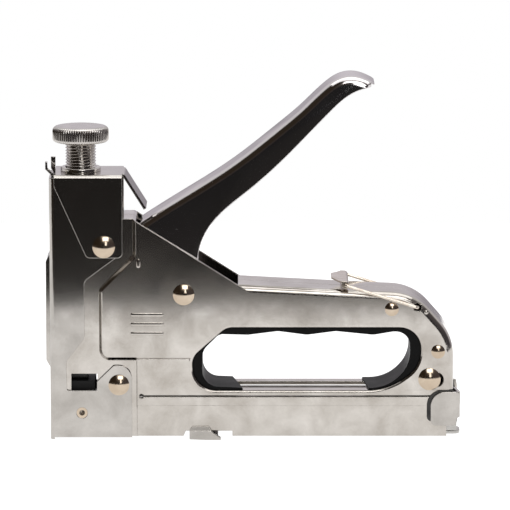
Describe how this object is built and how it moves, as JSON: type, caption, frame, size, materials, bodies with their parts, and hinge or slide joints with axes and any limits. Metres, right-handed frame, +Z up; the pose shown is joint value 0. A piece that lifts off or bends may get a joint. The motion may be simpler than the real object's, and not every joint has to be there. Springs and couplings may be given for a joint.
{
  "type": "staple gun",
  "caption": "Hand staple gun of pressed plated steel with a squeeze handle, an adjuster knob on the nose, a rubber-lined finger loop, a wire bail latch and a slide-out magazine.",
  "frame": {"origin": "centre of the bounding box's footprint, on the face that is held against the work", "axes": "+X from the nose to the magazine's rear end, +Y across the tool, +Z up from the work face"},
  "size_m": [0.175, 0.0316, 0.1543],
  "materials": {
    "pressed_steel": "satin nickel plate, slightly mottled",
    "bright_steel": "bright nickel plate",
    "chrome_handle": "polished chrome plate",
    "rivet_steel": "polished, faintly warm",
    "nickel_screw": "bright, turned and knurled",
    "wire_steel": "bright",
    "dark_steel": "oiled, dark",
    "spring_steel": "oiled spring wire",
    "rail_steel": "zinc plate",
    "grip_rubber": "matt black, fine grain",
    "bumper_rubber": "matt"
  },
  "bodies": {
    "frame": {"shell_left": "pressed_steel", "shell_right": "pressed_steel", "nose_housing": "bright_steel", "nose_hook_plate": "bright_steel", "nose_cap": "bright_steel", "adjuster_collar": "nickel_screw", "driver_guide": "dark_steel", "bumper": "bumper_rubber", "grip_insert": "grip_rubber", "magazine_channel": "rail_steel", "cap_rivet": "rivet_steel", "handle_pivot_pin": "rivet_steel", "front_rivet": "rivet_steel", "rear_pin": "rivet_steel", "rear_rivets": "rivet_steel", "nose_rivets": "rivet_steel", "handle_return_spring": "spring_steel"},
    "handle": {"handle_lever": "chrome_handle"},
    "hammer": {"plunger": "dark_steel", "driver_blade": "dark_steel", "main_spring": "spring_steel"},
    "seat": {"spring_seat": "dark_steel"},
    "adjuster": {"adjuster_screw": "nickel_screw", "adjuster_knob": "nickel_screw"},
    "bail": {"bail_wire": "wire_steel"},
    "clip": {"bail_clip": "wire_steel"},
    "slide": {"staple_rail": "rail_steel", "slide_cap": "bright_steel", "slide_cap_liner": "dark_steel", "slide_tongue": "rail_steel", "guide_rod": "rail_steel"},
    "follower": {"pusher": "rail_steel", "pusher_spring": "spring_steel"},
    "catch": {"release_catch": "bright_steel"}
  },
  "joints": [
    {"name": "handle_squeeze", "type": "hinge", "parent": "frame", "child": "handle", "pos_m": [-0.0294, 0, 0.0622], "axis": [0, 1, 0], "range_deg": [0, 34], "stiffness_Nm_per_rad": 0.6, "springref_deg": -28.65},
    {"name": "hammer_lift", "type": "slide", "parent": "frame", "child": "hammer", "axis": [0, 0, 1], "range_m": [0, 0.0143], "deforming": ["main_spring"]},
    {"name": "seat_travel", "type": "slide", "parent": "frame", "child": "seat", "axis": [0, 0, -1], "range_m": [0, 0.00625]},
    {"name": "adjuster_turn", "type": "hinge", "parent": "seat", "child": "adjuster", "pos_m": [-0.0728, 0, 0.12], "axis": [0, 0, -1], "range_deg": [0, 1800]},
    {"name": "bail_swing", "type": "hinge", "parent": "frame", "child": "bail", "pos_m": [0.0691, 0, 0.0568], "axis": [0, 1, 0], "range_deg": [0, 150]},
    {"name": "clip_swing", "type": "hinge", "parent": "bail", "child": "clip", "pos_m": [0.0386, 0, 0.0663], "axis": [0, -1, 0], "range_deg": [0, 28]},
    {"name": "magazine_slide", "type": "slide", "parent": "frame", "child": "slide", "axis": [1, 0, 0], "range_m": [0, 0.09]},
    {"name": "pusher_slide", "type": "slide", "parent": "slide", "child": "follower", "axis": [1, 0, 0], "range_m": [0, 0.09], "stiffness_N_per_m": 40, "springref_m": -0.05, "deforming": ["pusher_spring"]},
    {"name": "catch_press", "type": "slide", "parent": "frame", "child": "catch", "axis": [1, 0, 0], "range_m": [0, 0.004], "stiffness_N_per_m": 400, "springref_m": -0.002}
  ],
  "couplings": [
    {"joint": "handle_squeeze", "follows": "hammer_lift", "rad_per_m": 41.497},
    {"joint": "adjuster_turn", "follows": "seat_travel", "rad_per_m": 5026.5}
  ]
}
